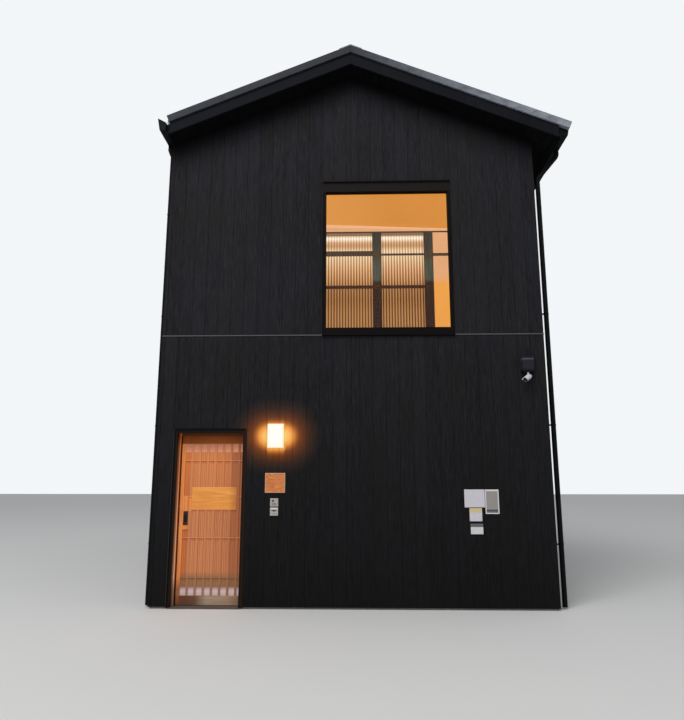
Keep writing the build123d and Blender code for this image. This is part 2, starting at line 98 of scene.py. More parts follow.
class Finish:
    # a material, or the world, with its nodes; place is the point in the object's own measures
    def __init__(self, name, library="materials"):
        self.owner = getattr(bpy.data, library).new(name)
        self.owner.use_nodes = True
        self.tree = self.owner.node_tree
        self.tree.nodes.clear()
        self.place = self.node("ShaderNodeTexCoord", out="Object")
        self.x, self.y, self.z = (self.node("ShaderNodeSeparateXYZ", None, {0: self.place}, way)
                                  for way in "XYZ")

    def node(self, kind, settings=None, sockets=None, out=0):
        # any node: its settings first, then the values or links of its sockets; one of its outputs is given
        made = self.tree.nodes.new(kind)
        for key, value in (settings or {}).items():
            if key == "stops":
                stops = made.color_ramp.elements
                while len(stops) < len(value):
                    stops.new(0.5)
                for stop, (position, colour) in zip(stops, value):
                    stop.position, stop.color = position, colour
            else:
                setattr(made, key, value)
        for key, value in (sockets or {}).items():
            if isinstance(value, Socket):
                self.tree.links.new(value.socket, made.inputs[key])
            else:
                made.inputs[key].default_value = value
        return Socket(self, made.outputs[out]) if len(made.outputs) else None

    def patch(self, left, right, foot, head, soft=0.0008):
        # 1 inside an upright rectangle as seen from the street, 0 outside
        return self.x.band(left, right, soft) * self.z.band(foot, head, soft)

    def noise(self, scale, detail=4, roughness=0.5, distortion=0, place=None):
        # one scale for every way, or three that stretch the pattern along x, y and z
        place = place or self.place
        if isinstance(scale, (tuple, list)):
            place, scale = self.node("ShaderNodeMapping", None, {"Vector": place, "Scale": scale}), 1.0
        return self.node("ShaderNodeTexNoise", None, {
            "Vector": place, "Scale": scale, "Detail": detail, "Roughness": roughness,
            "Distortion": distortion})

    def mixed(self, factor, first, second):
        # first * (1 - factor) + second * factor
        return self.node("ShaderNodeMix", {"data_type": "RGBA", "clamp_factor": True},
                         {0: factor, 6: first, 7: second}, 2)

    def tinted(self, factor, first, second):
        # the same between two given colours
        return self.mixed(factor, linear(*first), linear(*second))

    def laid(self, share, colour, tint):
        # a share of one tint laid over a colour
        return self.mixed(share, colour, linear(*tint))

    def dimmed(self, share, colour):
        # what is left of a glow when a share of it is taken away
        return self.mixed(share, colour, (0, 0, 0, 1))

    def stops(self, factor, colours):
        # a ladder of (position, given colour)
        return self.node("ShaderNodeValToRGB", {"stops": [(at, linear(*tint)) for at, tint in colours]},
                         {0: factor})

    def bump(self, height, strength, distance):
        return self.node("ShaderNodeBump", None, {"Height": height, "Strength": strength,
                                                  "Distance": distance})

    def surface(self, **sockets):
        # the one shader of a material, whose sockets are named with _ for a blank
        names = {name.replace("_", " "): value for name, value in sockets.items()}
        shader = self.node("ShaderNodeBsdfPrincipled", None, names)
        self.node("ShaderNodeOutputMaterial", None, {"Surface": shader})
        return self.owner


def lit(glow, *seen):
    # the sockets of a surface that gives light of its own, or none
    return {"Emission_Color": glow(*seen), "Emission_Strength": 1.0} if glow else {}


def washes(*rows):
    # a layer of tints: each is laid on by its share * the ramp between two places along an axis
    def layer(finish, colour):
        for axis, start, end, share, tint in rows:
            colour = finish.laid(getattr(finish, axis).ramp(start, end) * share, colour, tint)
        return colour
    return layer


def woodFinish(name, wood, **more):
    # streaks that run along one axis: noise squeezed across the grain, plus slow waves for the rings
    wood = {"ringShare": 0.3, "rings": 40, "patch": 0.3, "patchScale": 1.3, "toned": False,
            "toneSpread": 0.5, "turned": None, "layers": (), "relief": 0.35, "depth": 0.0012,
            "shine": 0.3, "glow": None, **wood, **more}
    finish = Finish(name)
    squeeze = [wood["across"]] * 3
    squeeze[wood["grainAxis"]] = wood["along"]
    place = finish.place
    if wood["toned"]:      # every board carries a tone, which also picks its own stretch of the grain
        tone = finish.node("ShaderNodeAttribute", {"attribute_name": "tone"}, out="Fac")
        away = finish.node("ShaderNodeCombineXYZ", None, {0: tone * 31.7, 1: tone * 17.3, 2: tone * 43.1})
        place = finish.node("ShaderNodeVectorMath", {"operation": "ADD"}, {0: place, 1: away})
    grain = finish.noise(squeeze, 6, 0.58, 0.25, place)
    if wood["turned"]:     # a mask of where the grain runs level instead
        level = finish.noise((wood["along"], wood["across"], wood["across"]), 6, 0.58, 0.25, place)
        grain = grain + (level - grain) * wood["turned"](finish)
    rings = finish.noise([part * 0.2 for part in squeeze], 2, 0.5, 1.0, place) * wood["rings"]
    bands = (rings.calc("SINE", rings) * 0.5 + 0.5) * wood["ringShare"]
    blend = (grain * (1 - wood["ringShare"]) + bands).ramp(0.24, 0.76)
    colour = finish.tinted(blend, wood["dark"], wood["light"])
    patches = finish.noise(wood["patchScale"], 4, 0.6).ramp(0.38, 0.66)
    colour = finish.laid(patches * wood["patch"], colour, wood["worn"])
    if wood["toned"]:
        shift = (tone - 0.5) * wood["toneSpread"]
        colour = finish.laid(shift.above(0), colour, wood["light"])
        colour = finish.laid((0 - shift).above(0), colour, wood["dark"])
    for layer in wood["layers"]:
        colour = layer(finish, colour)
    return finish.surface(Base_Color=colour, Roughness=wood["roughness"] + (0.5 - blend) * 0.16,
                          Normal=finish.bump(blend, wood["relief"], wood["depth"]),
                          Specular_IOR_Level=wood["shine"], **lit(wood["glow"], finish, colour, blend))


def metalFinish(name, metal, **more):
    # painted sheet: broad soft dents, fine orange-peel, and dust that gathers in patches and runs
    metal = {"dentScale": (1.1, 2.6, 2.6), "dust": 0.5, "layers": (), "relief": 0.25, "depth": 0.01,
             "metallic": 0.0, "shine": 0.4, **metal, **more}
    finish = Finish(name)
    dents = finish.noise(metal["dentScale"], 2, 0.4)
    peel = finish.noise(260, 2, 0.5)
    dust = finish.noise((3.0, 3.0, 1.4), 6, 0.65)
    runs = finish.noise((38, 38, 1.2), 3, 0.5)
    worn = (dust * 0.65 + runs * 0.35).ramp(0.42, 0.72)
    colour = finish.tinted(worn * metal["dust"], metal["paint"], metal["dusty"])
    for layer in metal["layers"]:
        colour = layer(finish, colour)
    return finish.surface(Base_Color=colour, Roughness=metal["roughness"] + worn * 0.15,
                          Metallic=metal["metallic"], Specular_IOR_Level=metal["shine"],
                          Normal=finish.bump(dents * 0.9 + peel * 0.1, metal["relief"], metal["depth"]))


def plasterFinish(name, plaster):
    # trowelled skim: cloudy tone with short low strokes
    finish = Finish(name)
    clouds = finish.noise(1.1, 5, 0.55, 0.3)
    strokes = finish.noise((9, 9, 22), 4, 0.6, 0.8)
    grit = finish.noise(190, 2, 0.5)
    blend = (clouds * 0.6 + strokes * 0.4).ramp(0.32, 0.68)
    colour = finish.tinted(blend, plaster["dark"], plaster["light"])
    return finish.surface(Base_Color=colour, Roughness=0.82 + (0.5 - grit) * 0.1, Specular_IOR_Level=0.2,
                          Normal=finish.bump(strokes * 0.7 + grit * 0.3, 0.25, 0.003),
                          **lit(plaster.get("glow"), finish, colour, blend))


def plasticFinish(name, plastic, **more):
    # moulded shell: fine spark texture and a little grime
    plastic = {"grime": 0.3, "layers": (), "shine": 0.45, **plastic, **more}
    finish = Finish(name)
    spark = finish.noise(620, 2, 0.5)
    grime = finish.noise(34, 5, 0.6).ramp(0.5, 0.78)
    colour = finish.tinted(grime * plastic["grime"], plastic["shell"], plastic["grimy"])
    for layer in plastic["layers"]:
        colour = layer(finish, colour)
    return finish.surface(Base_Color=colour, Roughness=plastic["roughness"] + grime * 0.15,
                          Normal=finish.bump(spark, 0.15, 0.0004), Specular_IOR_Level=plastic["shine"])


def dress(nodes, material):
    # the nodes of the frame keep their meshes and get one material
    for node in nodes:
        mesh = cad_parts[node].data
        mesh.materials.clear()
        mesh.materials.append(material)


# Meshes: grids of points worked out as whole arrays

def faceRings(count, rows, columns, first, wrapped, looped):
    # corner numbers of each quad of `count` grids that lie one after another: row * columns + column,
    # then the next column, that one in the next row, and the next row
    row, column = np.meshgrid(np.arange(rows - (not looped)), np.arange(columns - (not wrapped)),
                              indexing="ij")
    across, down = (column + 1) % columns, (row + 1) % rows
    quads = np.stack([row * columns + column, row * columns + across,
                      down * columns + across, down * columns + column], -1).reshape(-1, 4)
    return (quads[None] + (np.arange(count) * rows * columns)[:, None, None]).reshape(-1, 4) + first


def rimRing(rows, columns):
    # point numbers round a grid's outer edge, turned against its faces, to close its back
    left = np.arange(rows) * columns
    top = (rows - 1) * columns + np.arange(1, columns)
    right = left[::-1][1:] + columns - 1
    bottom = np.arange(columns - 2, 0, -1)
    return np.concatenate([left, top, right, bottom])


def placed(name, data, place=(0, 0, 0), turn=(0, 0, 0)):
    # a new object; pieces stay at the origin, the studio's own go to their place
    made = bpy.data.objects.new(name, data)
    made.location, made.rotation_euler = place, turn
    bpy.context.scene.collection.objects.link(made)
    return made


def addPiece(name, grids, material, slotName, body, closed="back", tones=None, replaced=()):
    # each grid is an array (how many, rows, columns, 3), closed by its back, its two ends or as a loop
    points, quads, lids, toneParts, first = [], [], [], [], 0
    for number, grid in enumerate(grids):
        count, rows, columns = grid.shape[:3]
        points.append(grid.reshape(-1, 3))
        quads.append(faceRings(count, rows, columns, first, closed != "back", closed == "loop"))
        starts = first + np.arange(count)[:, None] * rows * columns
        if closed == "back":
            lids += (starts + rimRing(rows, columns)).tolist()
        if closed == "ends":
            lids += (starts + np.arange(columns)[::-1]).tolist()
            lids += (starts + (rows - 1) * columns + np.arange(columns)).tolist()
        if tones is not None:
            toneParts.append(np.repeat(tones[number], rows * columns))
        first += count * rows * columns
    mesh = bpy.data.meshes.new(name)
    mesh.from_pydata(np.concatenate(points).tolist(), [], np.concatenate(quads).tolist() + lids)
    if tones is not None:
        carried = mesh.attributes.new("tone", "FLOAT", "POINT")
        carried.data.foreach_set("value", np.concatenate(toneParts).astype(np.float32))
    mesh.materials.append(material)
    mesh.validate()
    piece = placed(name, mesh)
    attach(piece, body)
    if replaced:
        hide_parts(*replaced)


def slabGrid(face, cells, shape, seed=0):
    # a low pillow on each cell (left, right, foot, left head, right head): edges raised by `proud`, slightly
    # cupped and leaning, sides a little wavy, the back closed flat on the face;
    # point = corner + across * right + up * rising + out * outward
    shape = {"gap": 0, "cup": 0, "rows": 2, "sway": 0, "lean": 0, **shape}
    rng = np.random.default_rng(seed)
    x0, x1, z0, zl, zr = np.array(cells, float)[:, :5].T[:, :, None, None]
    gap, edge, proud, rows = shape["gap"], shape["edge"], shape["proud"], shape["rows"]
    share = np.array([0, 0, 0, 0.5, 1, 1, 1], float)[None, None, :]
    inset = np.array([0, 0, edge, 0, -edge, 0, 0])[None, None, :]
    lift = np.array([0, proud - edge / 2, proud, proud + shape["cup"], proud, proud - edge / 2, 0])
    along = np.concatenate([[0, 0], np.linspace(0, 1, rows), [1, 1]])[None, :, None]
    endInset = np.concatenate([[0, 0, edge], np.zeros(rows - 2), [-edge, 0, 0]])[None, :, None]
    endLift = np.concatenate([[0, proud - edge / 2], np.full(rows, proud), [proud - edge / 2, 0]])
    sway = rng.normal(0, shape["sway"], (len(cells), along.shape[1], 1))
    x = (x0 + gap) + (x1 - x0 - 2 * gap) * share + inset + sway * ((share > 0) & (share < 1))
    head = zl + (zr - zl) * (x - x0) / (x1 - x0)
    z = (z0 + gap) + (head - z0 - 2 * gap) * along + endInset
    raised = np.minimum(lift[None, None, :], endLift[None, :, None])
    lean = rng.normal(0, shape["lean"], (len(cells), 1, 1)) * (share - 0.5)
    out = np.where(raised > 0, raised + np.clip(lean, -0.0012, 0.0012), 0)
    ways = [np.array(face.get(way, (0, 0, 1)), float) for way in ("right", "rising", "outward")]
    return (np.array(face["corner"], float) + x[..., None] * ways[0] + z[..., None] * ways[1]
            + out[..., None] * ways[2])


def turnedGrid(centres, axis, profile, sides=20):
    # a profile of (radius, height) turned round an axis at each centre:
    # centre + radius * (cos * first + sin * second) + height * axis
    axis = np.array(axis, float) / np.linalg.norm(axis)
    first = np.cross(axis, [0.3, 0.2, 0.9])
    first /= np.linalg.norm(first)
    second = np.cross(axis, first)
    angle = np.arange(sides) * 2 * math.pi / sides
    circle = np.cos(angle)[:, None] * first + np.sin(angle)[:, None] * second
    radius, height = np.array(profile, float).T
    ring = radius[:, None, None] * circle[None] + height[:, None, None] * axis
    return np.array(centres, float)[:, None, None, :] + ring[None]


def loopGrid(left, right, foot, head, y, profile):
    # a profile of (inset, depth) carried round an upright rectangle and mitred:
    # corner + inset * inward in x and z, y - depth
    corners = np.array([(right, foot, -1, 1), (left, foot, 1, 1), (left, head, 1, -1), (right, head, -1, -1)],
                       float)
    inset, depth = np.array(profile, float).T
    x = corners[:, None, 0] + corners[:, None, 2] * inset[None]
    z = corners[:, None, 1] + corners[:, None, 3] * inset[None]
    return np.stack([x, y - depth[None] + 0 * x, z], -1)[None]


# Where things are, all from the frame

lowWall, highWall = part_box("front_wall_lower")
halfWidth, halfDepth = highWall[0], -lowWall[1]
wallFoot, storeyLine = lowWall[2], highWall[2]
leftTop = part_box("left_wall")[1]
innerX, innerY = -leftTop[0], -highWall[1]
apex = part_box("front_wall_upper")[1][2]
pitchRise = (apex - leftTop[2]) / innerX   # the roof's fall for each metre across
windowLow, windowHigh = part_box("window_frame")
casingLow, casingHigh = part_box("door_casing")
window = {"side": 0.038, "foot": 0.102, "head": 0.143}   # widths of the frame's members


def soffitAt(x):
    # the roof's underside: apex - distance from the middle * pitch
    return apex - abs(x) * pitchRise


def levelFace(height):
    # a level face at a height: across is x, rising is y, outward is up
    return {"corner": (0, 0, height), "right": (1, 0, 0), "rising": (0, 1, 0), "outward": (0, 0, 1)}


def wallFace(side, halfX, halfY, turn=1):
    # an upright face of a box round the origin, from outside (turn 1) or from inside (turn -1): right is
    # outward turned a quarter, corner = (turn * outward - right) * half sizes
    outward = turn * np.array({"front": (0, -1, 0), "rear": (0, 1, 0), "left": (-1, 0, 0),
                               "right": (1, 0, 0)}[side])
    right = np.array((-outward[1], outward[0], 0))
    halves = np.array((halfX, halfY, 0))
    return {"corner": (turn * outward - right) * halves, "right": right, "outward": outward,
            "width": 2 * np.abs(right) @ halves}


# Board cladding

boards = {
    "pitch": 0.162, "firstSeam": 0.036, "seed": 7, "overFlashing": 0.016,
    "shape": {"gap": 0.0014, "proud": 0.004, "edge": 0.0032, "cup": 0.0005, "lean": 0.0008, "rows": 9,
              "sway": 0.0006},
    "stain": {"grainAxis": 2, "across": 56, "along": 4.0, "dark": (21, 21, 23), "light": (44, 43, 47),
              "worn": (34, 33, 35), "roughness": 0.66, "relief": 0.4, "shine": 0.04, "patch": 0.55,
              "patchScale": 2.2, "toned": True, "toneSpread": 0.45, "ringShare": 0.12},
    # painted shade: a tint close under the eaves and one towards the foot of the walls, each with its reach
    "eaveShade": (4, 4, 5), "eaveShadeReach": 0.62, "footShade": (16, 15, 14), "footShadeReach": 3.4,
}
lamp = {"shade": (250, 246, 238), "edge": (255, 234, 200), "edgeWidth": 0.012, "endShare": 1.3,
        "asideShare": 2.0, "underStart": 0.08, "overStart": 0.11, "reach": 0.5, "broken": 0.14,
        "halo": [(0.0, (255, 208, 124)), (0.08, (255, 202, 112)), (0.14, (255, 190, 95)),
                 (0.185, (248, 168, 78)), (0.235, (234, 150, 64)), (0.28, (196, 115, 44)),
                 (0.33, (156, 86, 30)), (0.38, (122, 62, 14)), (0.45, (98, 48, 10)), (0.53, (78, 39, 10)),
                 (0.64, (52, 27, 8)), (0.78, (28, 15, 6)), (0.94, (0, 0, 0))]}
lampLow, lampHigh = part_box("lamp_shade")
lampMid, lampHalf = (lampLow + lampHigh) / 2, (lampHigh - lampLow) / 2


def paintedWallShade(finish, colour):
    # painted shade: the boards are darker close under the soffit, and darker and browner down towards the
    # street
    drop = apex - finish.x.size() * pitchRise - finish.z
    under = drop.ramp(boards["eaveShadeReach"], 0.02)
    colour = finish.laid(under * under * 0.9, colour, boards["eaveShade"])
    return finish.laid(finish.z.ramp(boards["footShadeReach"], 0.0) * 0.7, colour, boards["footShade"])


def drifting(finish, colour):
    # cooler and browner areas, wider than a board, that come and go up the wall, over short pale strokes
    drift = finish.noise((3.2, 3.2, 1.0), 3, 0.5)
    strokes = finish.noise((85, 85, 7), 3, 0.6).ramp(0.5, 0.72)
    colour = finish.laid(strokes * 0.4, colour, (58, 58, 62))
    cool = drift.ramp(0.5, 0.62) * (finish.z.ramp(2.4, 4.2) * 0.24 + 0.08)
    colour = finish.laid(cool, colour, (40, 41, 50))
    return finish.laid(drift.ramp(0.48, 0.38) * 0.32, colour, (36, 34, 31))


def lampHalo(finish, colour, blend):
    # warm light on the boards, a ladder of colours by the nearer of two distances, which are the root of
    # (aside squared + height squared) and start + endShare * past the shade's end + asideShare * aside
    aside = ((finish.x - lampMid[0]).size() - lampHalf[0]).above(0)
    height = finish.z - lampMid[2]
    square = aside * aside + height * height
    past = (height.size() - lampHalf[2]).above(0)
    start = height.ramp(0, 0.01) * (lamp["overStart"] - lamp["underStart"]) + lamp["underStart"]
    ends = start + past * lamp["endShare"] + aside * lamp["asideShare"]
    nearest = square.calc("SQRT", square).below(ends)
    return finish.dimmed((1 - blend) * lamp["broken"],
                         finish.stops(nearest * (1 / lamp["reach"]), lamp["halo"]))


def boardCells(width, bottom, top, holes, seed):
    # columns of boards from seam to seam, each with a tone, cut at the middle and round the holes;
    # top(across) is the height of their heads
    rng = np.random.default_rng(seed)
    proud = boards["shape"]["proud"]
    seams = [-proud] + list(np.arange(boards["firstSeam"], width - 0.02, boards["pitch"])) + [width + proud]
    cells = []
    for left, right in zip(seams, seams[1:]):
        tone = rng.random()
        edges = [width / 2] + [edge for hole in holes for edge in hole[:2]]
        cuts = sorted({left, right} | {edge for edge in edges if left < edge < right})
        for x0, x1 in zip(cuts, cuts[1:]):
            spans = [(bottom, None)]
            for low, high, foot, head in holes:
                if low <= x0 + 1e-6 and x1 <= high + 1e-6:
                    spans = ([] if foot <= bottom else [(bottom, foot)]) + [(head, None)]
            for z0, z1 in spans:
                ends = (top(x0), top(x1)) if z1 is None else (z1, z1)
                cells.append((x0, x1, z0, *ends, tone))
    return np.array(cells)


stain = {**boards["stain"], "layers": [drifting, paintedWallShade]}
plainBoards = woodFinish("black stained boards", stain)
litBoards = woodFinish("black stained boards by the lamp", stain, glow=lampHalo)
windowHole = (windowLow[0] + halfWidth, windowHigh[0] + halfWidth, windowLow[2], windowHigh[2])
doorHole = (casingLow[0] + halfWidth, casingHigh[0] + halfWidth, wallFoot, casingHigh[2])
boardFoot = {"lower": wallFoot, "upper": storeyLine + boards["overFlashing"]}
joint = lambda across: storeyLine - 0.0005   # where the boards end: under the flashing, gable or eave
gable = lambda across: soffitAt(across - halfWidth) - 0.002
eave = lambda across: soffitAt(halfWidth) - 0.004
for side, storey, top, holes, number in (
        ("front", "lower", joint, [doorHole], 1), ("front", "upper", gable, [windowHole], 2),
        ("rear", "lower", joint, [], 3), ("rear", "upper", gable, [windowHole], 4),
        ("left", "lower", joint, [], 5), ("left", "upper", eave, [], 8),
        ("right", "lower", joint, [], 6), ("right", "upper", eave, [], 9)):
    face = wallFace(side, halfWidth, halfDepth)
    cells = boardCells(face["width"], boardFoot[storey], top, holes, boards["seed"] + number)
    grid = slabGrid(face, cells, boards["shape"], boards["seed"] + number + 50)
    addPiece(f"{side}_boards_{storey}", [grid], litBoards if number == 1 else plainBoards,
             "black_boards" if side == "front" else "side_boards", house, tones=[cells[:, 5]])
dress(["front_wall_lower", "front_wall_upper", "rear_wall_lower", "rear_wall_upper", "left_wall",
       "right_wall"], woodFinish("board backing", boards["stain"], toned=False, dark=(8, 8, 9),
                                 light=(16, 15, 17)))
print("boards done")


# Roof, edges, gutters

# the sky ladder is a painted reflection of the sky along the trim
verge = {"left": -2.39, "right": 2.8, "stain": (44, 46, 50),
         "sky": [(0.0, (60, 63, 69)), (0.2, (54, 57, 63)), (0.46, (52, 54, 59)), (0.56, (84, 88, 95)),
                 (0.75, (118, 123, 132)), (1.0, (150, 156, 165))]}
# near-black stained wood, made darker still as painted shade under the roof's edge
soffit = {"grainAxis": 1, "across": 34, "along": 1.6, "dark": (8, 8, 9), "light": (18, 17, 17),
          "worn": (13, 12, 12), "roughness": 0.75, "shine": 0.05, "pitch": 0.09, "joint": 0.004}
straps = {"pitch": 0.6, "width": 0.022, "drop": 0.02, "shape": {"edge": 0.0012, "proud": 0.003},
          "metal": {"paint": (58, 60, 60), "dusty": (92, 90, 86), "roughness": 0.4, "metallic": 0.7}}


def skySheenAndDust(finish, colour):
    # painted reflection: the trim greys from left to right as it reflects more of the sky, with runs of dust
    runs = finish.noise((7, 7, 16), 6, 0.68).ramp(0.44, 0.66)
    tint = finish.stops(finish.x.ramp(verge["left"], verge["right"]), verge["sky"])
    return finish.laid(runs * 0.5, tint, verge["stain"])


def soffitJoints(finish, colour):
    # a dark line where x's remainder by the boards' pitch is close to 0 or to the pitch
    x, half = finish.x, soffit["pitch"] / 2
    away = (x.calc("FLOORED_MODULO", x, soffit["pitch"]) - half).size()
    return finish.laid(away.ramp(half - soffit["joint"], half - 0.001) * 0.8, colour, (2, 2, 2))


windowPaint = {"paint": (25, 22, 21), "dusty": (42, 38, 36), "roughness": 0.5, "dust": 0.4,
               "dentScale": (6, 6, 6), "relief": 0.06, "shine": 0.05}
underHead = windowHigh[2] - window["head"]
sheets = {
    "roof sheet": (["roof_covering_left", "roof_covering_right", "ridge_cap"], {
        "paint": (92, 96, 104), "dusty": (118, 119, 120), "roughness": 0.36, "dust": 0.45, "relief": 0.3,
        "depth": 0.012, "metallic": 0.35}),
    "verge sheet": (["verge_trims"], {
        "paint": (80, 80, 80), "dusty": (96, 96, 96), "roughness": 0.45, "dust": 0.0, "shine": 0.06,
        "layers": [skySheenAndDust]}),
    "barge sheet": (["bargeboards", "eave_fascias"], {
        "paint": (20, 21, 26), "dusty": (34, 35, 40), "roughness": 0.55, "shine": 0.03}),
    "gutter sheet": (["gutter_left", "gutter_right", "downpipe_left", "downpipe_right"], {
        "paint": (14, 17, 17), "dusty": (30, 32, 31), "roughness": 0.5, "dust": 0.45, "shine": 0.05}),
    "window paint": (["window_frame", "rear_window_frame"], {
        **windowPaint, "layers": [washes(("z", underHead + 0.001, underHead - 0.003, 0.8, (9, 6, 6)))]}),
    "flashing strip": (["storey_flashing"], {
        "paint": (84, 84, 87), "dusty": (104, 103, 102), "roughness": 0.45, "shine": 0.1,
        # a painted shadow darkens the strip's foot
        "layers": [washes(("z", storeyLine + 0.004, storeyLine + 0.001, 1, (8, 8, 9)))]}),
}
for name, (nodes, metal) in sheets.items():
    dress(nodes, metalFinish(name, metal))
dress(["roof_deck_left", "roof_deck_right"],
      woodFinish("soffit boards", soffit, layers=[soffitJoints]))


def strapGrid(node):
    # flat straps across the gutter's mouth, from its inner wall to its outer one
    low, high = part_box(node)
    half = straps["width"] / 2
    cells = [(low[0] + 0.001, high[0] - 0.001, y - half, y + half, y + half)
             for y in np.arange(low[1] + 0.35, high[1] - 0.2, straps["pitch"])]
    return slabGrid(levelFace(high[2] - straps["drop"]), cells, straps["shape"])


addPiece("gutter_straps", [strapGrid("gutter_left"), strapGrid("gutter_right")],
         metalFinish("strap metal", straps["metal"]), "gutter_metal", house)
print("roof done")


# Lit room behind the big window

screenLow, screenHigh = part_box("screen_backing")
room = {
    "dim": 0.03, "screenDim": 0.02, "rails": [(4.9, 5.05), (4.41, 4.47)], "postSpan": (4.0, 5.2),
    "railTurn": (4.45, 4.75), "railTints": ((50, 24, 4), (66, 56, 42)),
    # the posts' grey-green higher up is a painted reflection of the street in the glass
    "postGlow": [(0.0, (20, 3, 1)), (0.42, (22, 4, 1)), (0.47, (68, 78, 66)), (0.68, (66, 76, 64)),
                 (1.0, (46, 52, 46))],
    "paperGlow": [(0.0, (169, 124, 77)), (0.42, (179, 131, 81)), (0.51, (166, 117, 66)),
                  (0.60, (178, 131, 84)), (0.66, (208, 156, 105)), (0.73, (228, 179, 133)),
                  (0.81, (243, 209, 170)), (0.87, (249, 220, 182)), (0.905, (204, 156, 111)),
                  (0.93, (214, 169, 125)), (0.962, (255, 244, 220)), (0.985, (232, 205, 182))],
    "slatGlow": [(0.0, (96, 55, 12)), (0.42, (104, 60, 15)), (0.51, (84, 44, 6)), (0.60, (98, 60, 20)),
                 (0.66, (130, 84, 38)), (0.73, (158, 111, 66)), (0.81, (178, 145, 100)),
                 (0.87, (196, 164, 126)), (0.905, (170, 123, 76)), (0.93, (186, 143, 100)),
                 (0.962, (248, 228, 200)), (0.98, (142, 107, 77))],
    "slats": {"grainAxis": 2, "across": 160, "along": 3, "dark": (52, 34, 20), "light": (68, 48, 30),
              "worn": (60, 42, 26), "roughness": 0.65, "shine": 0.04},
    "posts": {"grainAxis": 2, "across": 55, "along": 2.2, "dark": (44, 30, 22), "light": (64, 48, 36),
              "worn": (56, 42, 32), "roughness": 0.6, "shine": 0.1},
}


def screenGlow(ladder):
    # a ladder of colours up the screen, broken up a little by the grain
    def glow(finish, colour, blend):
        light = finish.stops(finish.z.ramp(screenLow[2], screenHigh[2]), ladder)
        return finish.dimmed((blend - 0.5).size() * 0.2 + room["screenDim"], light)
    return glow


def twoGlow(first, second, axis, low, high):
    # one colour that turns into a second one along an axis
    def glow(finish, colour, blend):
        both = finish.tinted(getattr(finish, axis).ramp(low, high), first, second)
        return finish.dimmed((1 - blend) * 0.1 + room["dim"], both)
    return glow


def railGlow(finish, colour, blend):
    # painted light: posts and rails give off little: brown low rails, paler upper ones that catch the lamps
    # behind; higher up the posts turn grey-green, a painted reflection of the street in the glass
    z = finish.z
    rail = finish.tinted(z.ramp(*room["railTurn"]), *room["railTints"])
    upper, low = (z.band(*span, 0.004) for span in room["rails"])
    post = finish.stops(z.ramp(*room["postSpan"]), room["postGlow"])
    return finish.dimmed((1 - blend) * 0.3, finish.mixed((1 - (upper + low)).above(0), rail, post))


panel = {"dark": (98, 64, 34), "light": (112, 76, 42)}
lining = {"thick": 0.006, "skirtHeight": 0.09, "skirtThick": 0.012, "doorSide": 0.5, "clearHead": 2.2,
          "plaster": {"dark": (168, 120, 78), "light": (190, 142, 98)},
          "skirt": {"grainAxis": 0, "across": 50, "along": 2, "dark": (70, 44, 26), "light": (104, 70, 42),
                    "worn": (88, 60, 38), "roughness": 0.5}}
plasters = {
    "upper_ceiling": ("lit ceiling", {"dark": (96, 58, 26), "light": (108, 66, 30), "glow": twoGlow(
        (222, 150, 70), (214, 141, 58), "x", -0.4, 0.6)}),
    "plaster_panel": ("lit plaster", {**panel, "glow": twoGlow(
        (237, 163, 71), (225, 170, 121), "z", 4.46, 4.62)}),
    "ceiling_cornice": ("lit cornice", {"dark": (120, 88, 62), "light": (132, 98, 70), "glow": twoGlow(
        (236, 182, 136), (236, 182, 136), "z", 5.3, 5.6)}),
    "screen_backing": ("lit paper", {"dark": (100, 80, 56), "light": (116, 94, 68),
                                     "glow": screenGlow(room["paperGlow"])}),
    "upper_floor": ("floor edge and ceiling below", lining["plaster"]),
    "foundation": ("smooth concrete", {"dark": (104, 102, 98), "light": (138, 135, 129)}),
    "door_sill": ("honed sill", {"dark": (74, 68, 63), "light": (108, 101, 94)}),
}
for node, (name, plaster) in plasters.items():
    dress([node], plasterFinish(name, plaster))
dress(["screen_slats"], woodFinish("screen slats", room["slats"], glow=screenGlow(room["slatGlow"])))
dress(["screen_frame"], woodFinish("screen posts", room["posts"], glow=railGlow))

planks = {"width": 0.12, "length": 1.8, "seed": 21,
          "shape": {"gap": 0.0006, "edge": 0.0015, "proud": 0.004},
          "wood": {"grainAxis": 1, "across": 46, "along": 1.6, "dark": (104, 66, 38),
                   "light": (150, 104, 64), "worn": (126, 90, 60), "roughness": 0.42, "toned": True}}
screenFront, screenBack = (corner[1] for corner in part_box("screen_frame"))
underFloor, floorTop = (corner[2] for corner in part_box("upper_floor"))


def plankCells(low, high):
    # rows of planks along the room, each with its end joints at another place
    rng = np.random.default_rng(planks["seed"])
    cells = []
    for left in np.arange(-innerX, innerX - 0.01, planks["width"]):
        right = min(left + planks["width"], innerX)
        cuts = np.arange(low - rng.random() * planks["length"], high + planks["length"], planks["length"])
        ends = np.clip(cuts, low, high)
        cells += [(left, right, y0, y1, y1, rng.random()) for y0, y1 in zip(ends, ends[1:]) if y1 - y0 > 0.05]
    return np.array(cells)


def around(left, right, foot, head, hole):
    # four rectangles round a hole in a wall face
    return [(left, hole[0], foot, head, head), (hole[1], right, foot, head, head),
            (hole[0], hole[1], foot, hole[2], hole[2]), (hole[0], hole[1], hole[3], head, head)]


def sideFaces(start, end, foot, head):
    # both side walls between two distances from the front wall; the right one is measured from the rear
    return [("left", [(start, end, foot, head, head)]),
            ("right", [(deep - end, deep - start, foot, head, head)])]


plankParts = [plankCells(-innerY, screenFront), plankCells(screenBack, innerY)]
addPiece("upper_floor_planks", [slabGrid(levelFace(floorTop), part, planks["shape"]) for part in plankParts],
         woodFinish("floor planks", planks["wood"]), "floor_timber", house,
         tones=[part[:, 5] for part in plankParts])

